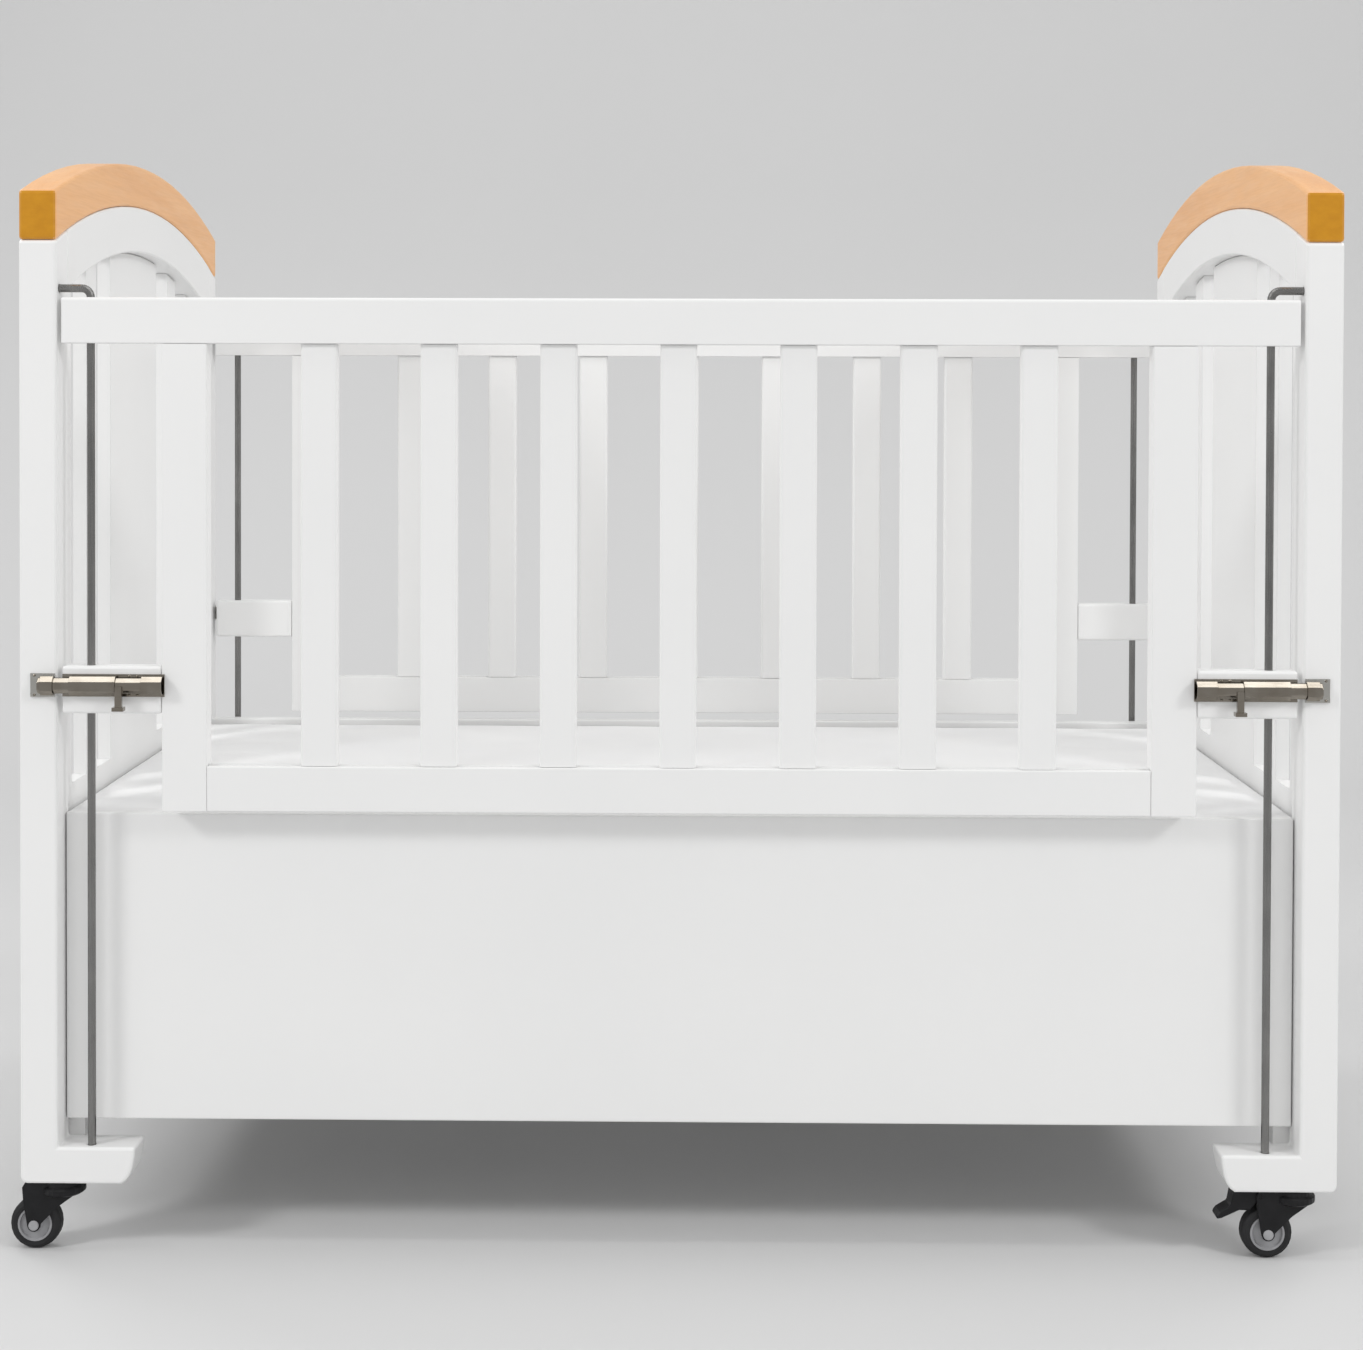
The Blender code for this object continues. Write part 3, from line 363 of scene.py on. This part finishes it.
# Mattress: a crowned pad with corded edge seams, soft ripples and creases across its ends
PAD_COLUMNS, PAD_ROWS = 120, 100
PAD_SPREAD = 0.92  # share of a quarter wave that draws the grid's lines towards the pad's edges
PAD_CORNER = 0.024  # corner radius seen from above
PAD_ROUNDING = 0.011  # how far in from the edge the top and the bottom start to round over
PAD_TOP_DIP, PAD_BOTTOM_RISE = 0.006, 0.008
PAD_CROWN = 0.0055
PAD_HEADROOM = 0.0085  # kept free below the CAD mattress's top for the crown and the ripples
RIPPLE_WAVE, RIPPLE_FOLD, RIPPLE_CREASE = 0.0011, 0.0009, 0.0013
WALL_STEPS = (0.2, 0.35, 0.5, 0.65, 0.8)
WALL_DRAW, WALL_PUCKER = 0.0045, 0.0012
CORD_RADIUS, CORD_INSET, CORD_SIDES = 0.0017, 0.0012, 8


def build_mattress():
    low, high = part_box("mattress")
    centre = (low + high) / 2
    half_x = (high.x - low.x) / 2
    half_y = (high.y - low.y) / 2
    height = high.z - low.z
    bm = bmesh.new()

    def spread(index, count):
        """A grid line's place from -1 to 1."""
        return math.sin((2 * index / count - 1) * math.pi / 2 * PAD_SPREAD) / math.sin(math.pi / 2 * PAD_SPREAD)

    def outline(u, v):
        """A point of the square from -1 to 1, brought inside the rounded rectangle."""
        x = u * half_x
        y = v * half_y
        over_x = max(abs(x) - (half_x - PAD_CORNER), 0.0)
        over_y = max(abs(y) - (half_y - PAD_CORNER), 0.0)
        reach = math.hypot(over_x, over_y)
        if reach > PAD_CORNER:
            x = math.copysign(half_x - PAD_CORNER + over_x * PAD_CORNER / reach, x)
            y = math.copysign(half_y - PAD_CORNER + over_y * PAD_CORNER / reach, y)
        return x, y

    def ripple(x, y, inside):
        """Soft waves all over, folds along the rim and creases across the ends."""
        wave = noise.noise(Vector((x * 5.0, y * 9.0, 3.1))) + 0.5 * noise.noise(Vector((x * 13.0, y * 17.0, 8.7)))
        fold = math.sin(x * 46.0 + 2.2 * noise.noise(Vector((x * 3.0, y * 5.0, 1.3))))
        near_rim = math.exp(-(((inside - 0.045) / 0.05) ** 2))
        pleat = math.sin(y * 34.0 + x * 3.0 + 2.6 * noise.noise(Vector((x * 4.0, y * 3.0, 5.5))))
        crease = 0.35 - math.exp(-((pleat / 0.38) ** 2))
        near_end = math.exp(-(((half_x - abs(x)) / 0.20) ** 2))
        rise = RIPPLE_WAVE * wave + RIPPLE_FOLD * fold * near_rim + RIPPLE_CREASE * crease * near_end
        return rise * min(inside / 0.02, 1.0)

    def surface(x, y, top):
        """The height of the top or the bottom at a place, in metres above the mattress's base."""
        inside = max(min(half_x - abs(x), half_y - abs(y)), 0.0)
        edge = min(inside / PAD_ROUNDING, 1.0)
        rounded = 1.0 - math.sqrt(max(1.0 - (1.0 - edge) ** 2, 0.0))
        if not top:
            return PAD_BOTTOM_RISE * rounded
        crown = PAD_CROWN * math.sin(min(inside / (half_y * 0.8), 1.0) * math.pi / 2)
        return height - PAD_HEADROOM - PAD_TOP_DIP * rounded + crown + ripple(x, y, inside)

    def grid(top):
        """Adds the top or the bottom to bm, and returns its edge's points in order."""
        made = []
        for j in range(PAD_ROWS + 1):
            line = []
            for i in range(PAD_COLUMNS + 1):
                x, y = outline(spread(i, PAD_COLUMNS), spread(j, PAD_ROWS))
                line.append(bm.verts.new((centre.x + x, centre.y + y, low.z + surface(x, y, top))))
            made.append(line)
        for a, b in zip(made, made[1:]):
            for i in range(PAD_COLUMNS):
                bm.faces.new((a[i], a[i + 1], b[i + 1], b[i]))
        right = [line[-1] for line in made[:-1]]
        left = [line[0] for line in made[:0:-1]]
        return made[0][:-1] + right + made[-1][:0:-1] + left

    upper = grid(True)
    lower = grid(False)
    rings = [lower]
    for step in WALL_STEPS:
        drawn = WALL_DRAW * math.sin(math.pi * step)
        ring = []
        for a, b in zip(lower, upper):
            point = a.co.lerp(b.co, step)
            away = Vector((point.x - centre.x, point.y - centre.y, 0.0))
            pucker = WALL_PUCKER * noise.noise(Vector((point.x * 22.0, point.y * 22.0, step * 4.0)))
            ring.append(bm.verts.new(point - away.normalized() * (drawn - pucker)))
        rings.append(ring)
    rings.append(upper)
    count = len(lower)
    for below, above in zip(rings, rings[1:]):
        for i in range(count):
            j = (i + 1) % count
            bm.faces.new((below[i], below[j], above[j], above[i]))
    seams = {"upper": [vertex.co.copy() for vertex in upper], "lower": [vertex.co.copy() for vertex in lower]}
    pad = made_object("mattress_cover", bm, COTTON, "frame", smooth_angle=60.0)
    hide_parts("mattress")
    for level, path in seams.items():
        build_piping(f"mattress_piping_{level}", path, centre)


def build_piping(name, path, centre):
    """A corded seam round the pad, a little in from its outermost line."""
    bm = bmesh.new()
    rings = []
    for i, point in enumerate(path):
        along = (path[(i + 1) % len(path)] - path[i - 1]).normalized()
        out = Vector((along.y, -along.x, 0.0)).normalized()
        if out.dot(Vector((point.x - centre.x, point.y - centre.y, 0.0))) < 0:
            out = -out
        ring = []
        for k in range(CORD_SIDES):
            angle = 2 * math.pi * k / CORD_SIDES
            rise = Vector((0, 0, CORD_RADIUS * math.sin(angle)))
            ring.append(bm.verts.new(point - out * CORD_INSET + out * CORD_RADIUS * math.cos(angle) + rise))
        rings.append(ring)
    for ring, following in zip(rings, rings[1:] + rings[:1]):
        for k in range(CORD_SIDES):
            m = (k + 1) % CORD_SIDES
            bm.faces.new((ring[k], ring[m], following[m], following[k]))
    made_object(name, bm, COTTON, "frame", smooth_angle=80.0)


# Small hardware: screws and axle caps
SHEET_THICKNESS = 0.0018  # of the bolt plates and the keepers
SCREW_RADIUS = 0.0014
SCREW_PROFILE = (
    (0.0, -0.0002),
    (SCREW_RADIUS, -0.0002),
    (SCREW_RADIUS, 0.0002),
    (SCREW_RADIUS * 0.72, 0.0007),
    (SCREW_RADIUS * 0.36, 0.0009),
    (0.0, 0.00095),
)
PLATE_SCREWS = (0.0265, 0.0345)  # outwards from a plate's inner end
PLATE_SCREW_RISE = 0.0094  # above and below the bolt
KEEPER_SCREW_INSET = 0.004  # from a keeper's outer end
KEEPER_SCREW_RISE = 0.0096
CHEEK_OFFSET = 0.0125  # of a fork's outer face from its wheel's middle
AXLE_CAP_PROFILE = (
    (0.0, 0.0002),
    (0.0050, 0.0002),
    (0.0050, 0.0010),
    (0.0042, 0.0018),
    (0.0020, 0.0021),
    (0.0, 0.0022),
)


def screws(name, body, x_values, centre_z, rise, face_y):
    """Pairs of raised countersunk heads above and below a bolt, on the face at face_y of a plate."""
    bm = bmesh.new()
    for x in x_values:
        for z in (centre_z - rise, centre_z + rise):
            lathed(bm, SCREW_PROFILE, Vector((x, face_y, z)), (0.0, math.copysign(1.0, face_y), 0.0), segments=20)
    made_object(name, bm, NICKEL, body)


def build_screws():
    """Screws in each bolt plate, between its housing and its saddle, and in each keeper beyond its loop."""
    for half in ("front", "rear"):
        board_low, board_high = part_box(f"{half}_side_top_rail")
        sheet_y = board_low.y - SHEET_THICKNESS if half == "front" else board_high.y + SHEET_THICKNESS
        for side, right in (("left", -1.0), ("right", 1.0)):
            plate = f"{half}_side_bolt_plate_{side}"
            low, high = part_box(plate)
            inner_x = min(abs(low.x), abs(high.x))
            xs = [right * (inner_x + reach) for reach in PLATE_SCREWS]
            name = f"{half}_plate_screws_{side}"
            screws(name, f"{half}_side", xs, middle(plate).z, PLATE_SCREW_RISE, sheet_y)
            keeper = f"bolt_keeper_{half}_{side}"
            low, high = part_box(keeper)
            outer_x = max(abs(low.x), abs(high.x))
            xs = [right * (outer_x - KEEPER_SCREW_INSET)]
            name = f"keeper_screws_{half}_{side}"
            screws(name, "frame", xs, middle(keeper).z, KEEPER_SCREW_RISE, sheet_y)


def build_axle_caps():
    """A grey cap over each end of each castor's axle."""
    for castor in (f"castor_{half}_{side}" for half in ("front", "rear") for side in ("left", "right")):
        hub = middle(f"{castor}_hub")
        bm = bmesh.new()
        for out in (-1.0, 1.0):
            cheek = Vector((hub.x, hub.y + out * CHEEK_OFFSET, hub.z))
            lathed(bm, AXLE_CAP_PROFILE, cheek, (0.0, out, 0.0), segments=24)
        made_object(f"{castor}_axle_caps", bm, AXLE_GREY, f"{castor}_fork")


build_mattress()
build_screws()
build_axle_caps()


# Studio
FLOOR_REACH = 30.0  # to either side and to the front
SWEEP_START, SWEEP_RADIUS, SWEEP_STEPS = 2.2, 1.4, 12
BACKDROP_HEIGHT = 6.0
LAMPS = (  # name, place, target, size, watts
    ("left", (-3.4, -2.4, 2.8), (0.0, 0.0, 0.6), (0.8, 0.8), 50.0),
    ("right", (3.4, -2.4, 2.8), (0.0, 0.0, 0.6), (0.8, 0.8), 47.0),
    ("top", (0.0, -0.74, 3.4), (0.0, -0.3, 0.4), (3.4, 0.3), 11.0),
    ("rear_left", (-2.5, 1.6, 3.2), (0.0, 0.0, 0.6), (1.5, 1.5), 22.0),
    ("rear_right", (2.5, 1.6, 3.2), (0.0, 0.0, 0.6), (1.5, 1.5), 17.0),
)


def build_backdrop():
    """A pale floor that sweeps up into a backdrop."""
    bm = bmesh.new()
    profile = [(-FLOOR_REACH, 0.0), (SWEEP_START, 0.0)]
    for i in range(1, SWEEP_STEPS + 1):
        angle = math.pi / 2 * i / SWEEP_STEPS
        back = SWEEP_START + SWEEP_RADIUS * math.sin(angle)
        profile.append((back, SWEEP_RADIUS - SWEEP_RADIUS * math.cos(angle)))
    profile.append((SWEEP_START + SWEEP_RADIUS, BACKDROP_HEIGHT))
    rows = [[bm.verts.new((x, y, z)) for x in (-FLOOR_REACH, FLOOR_REACH)] for y, z in profile]
    for a, b in zip(rows, rows[1:]):
        bm.faces.new((a[0], a[1], b[1], b[0]))
    mesh = bpy.data.meshes.new("backdrop")
    bm.to_mesh(mesh)
    bm.free()
    mesh.materials.append(backdrop_paper())
    mesh.shade_smooth()
    made = bpy.data.objects.new("backdrop", mesh)
    bpy.context.scene.collection.objects.link(made)


def build_world():
    world = bpy.data.worlds.new("studio")
    bpy.context.scene.world = world
    world.use_nodes = True
    background = world.node_tree.nodes["Background"]
    background.inputs["Color"].default_value = (1.0, 1.0, 1.0, 1.0)
    background.inputs["Strength"].default_value = 0.69


def build_lamps():
    for name, place, target, size, watts in LAMPS:
        lamp = bpy.data.lights.new(name, "AREA")
        lamp.shape = "RECTANGLE"
        lamp.size, lamp.size_y = size
        lamp.energy = watts
        made = bpy.data.objects.new(name, lamp)
        bpy.context.scene.collection.objects.link(made)
        made.location = place
        made.rotation_euler = (Vector(target) - Vector(place)).to_track_quat("-Z", "Y").to_euler()


def build_camera():
    """The camera at the photograph's place, fitted to points of the photograph."""
    data = bpy.data.cameras.new("camera")
    data.lens = 57.793
    data.sensor_width = 36.0
    data.sensor_fit = "HORIZONTAL"
    data.shift_x = 0.0042
    data.shift_y = -0.1798
    camera = bpy.data.objects.new("camera", data)
    bpy.context.scene.collection.objects.link(camera)
    camera.location = (0.0239, -2.4797, 0.8476)
    camera.rotation_euler = tuple(math.radians(degrees) for degrees in (89.044, -0.168, 0.719))
    bpy.context.scene.camera = camera


build_backdrop()
build_world()
build_lamps()
build_camera()
bpy.context.scene.view_settings.view_transform = "Standard"
